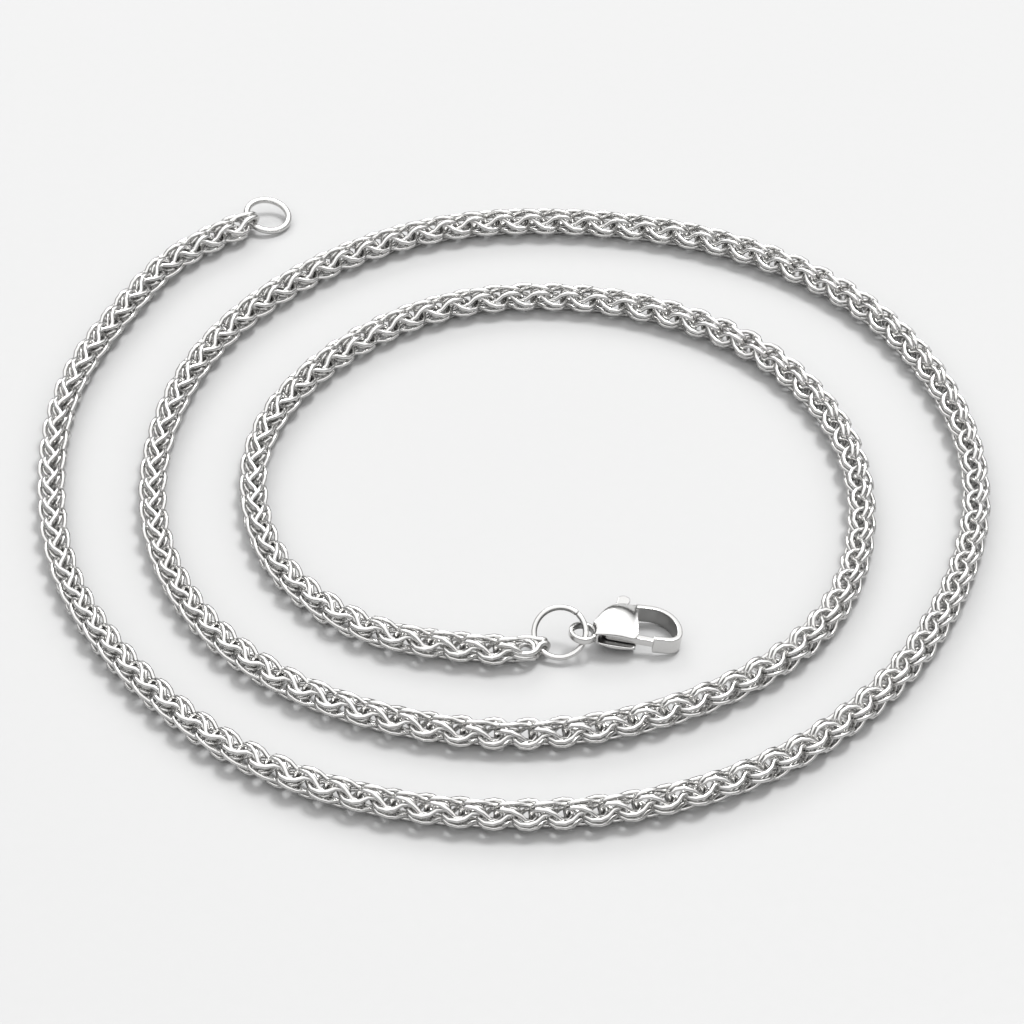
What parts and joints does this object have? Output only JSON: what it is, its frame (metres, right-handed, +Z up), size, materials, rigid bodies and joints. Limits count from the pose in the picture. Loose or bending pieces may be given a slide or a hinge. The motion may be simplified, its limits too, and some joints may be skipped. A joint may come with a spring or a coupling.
{
  "type": "wheat chain necklace with lobster clasp",
  "caption": "Wheat chain necklace lying in a loose open coil, with a lobster clasp on a split ring at one end and a soldered ring at the other.",
  "frame": {"origin": "on the surface that the necklace lies on, under the middle of its box", "axes": "+X to the right and +Y away as the picture shows it, +Z up from the surface"},
  "size_m": [0.0965, 0.0989, 0.0038],
  "materials": {
    "chain_steel": "polished steel wire, darker between the links",
    "polished_steel": "polished cast and drawn steel",
    "lever_steel": "stamped and tumbled steel"
  },
  "bodies": {
    "chain": {"chain_outer_half": "chain_steel", "chain_inner_half": "chain_steel", "end_ring": "polished_steel", "jump_ring": "polished_steel", "clasp_body": "polished_steel", "pivot_pin": "lever_steel"},
    "lever": {"clasp_lever": "lever_steel"}
  },
  "joints": [
    {"name": "lever_hinge", "type": "hinge", "parent": "chain", "child": "lever", "pos_m": [0.00941, -0.02294, 0.00186], "axis": [0.1308, 0.0523, 0.99], "range_deg": [0, 22], "stiffness_Nm_per_rad": 0.0005, "springref_deg": -22.92}
  ]
}
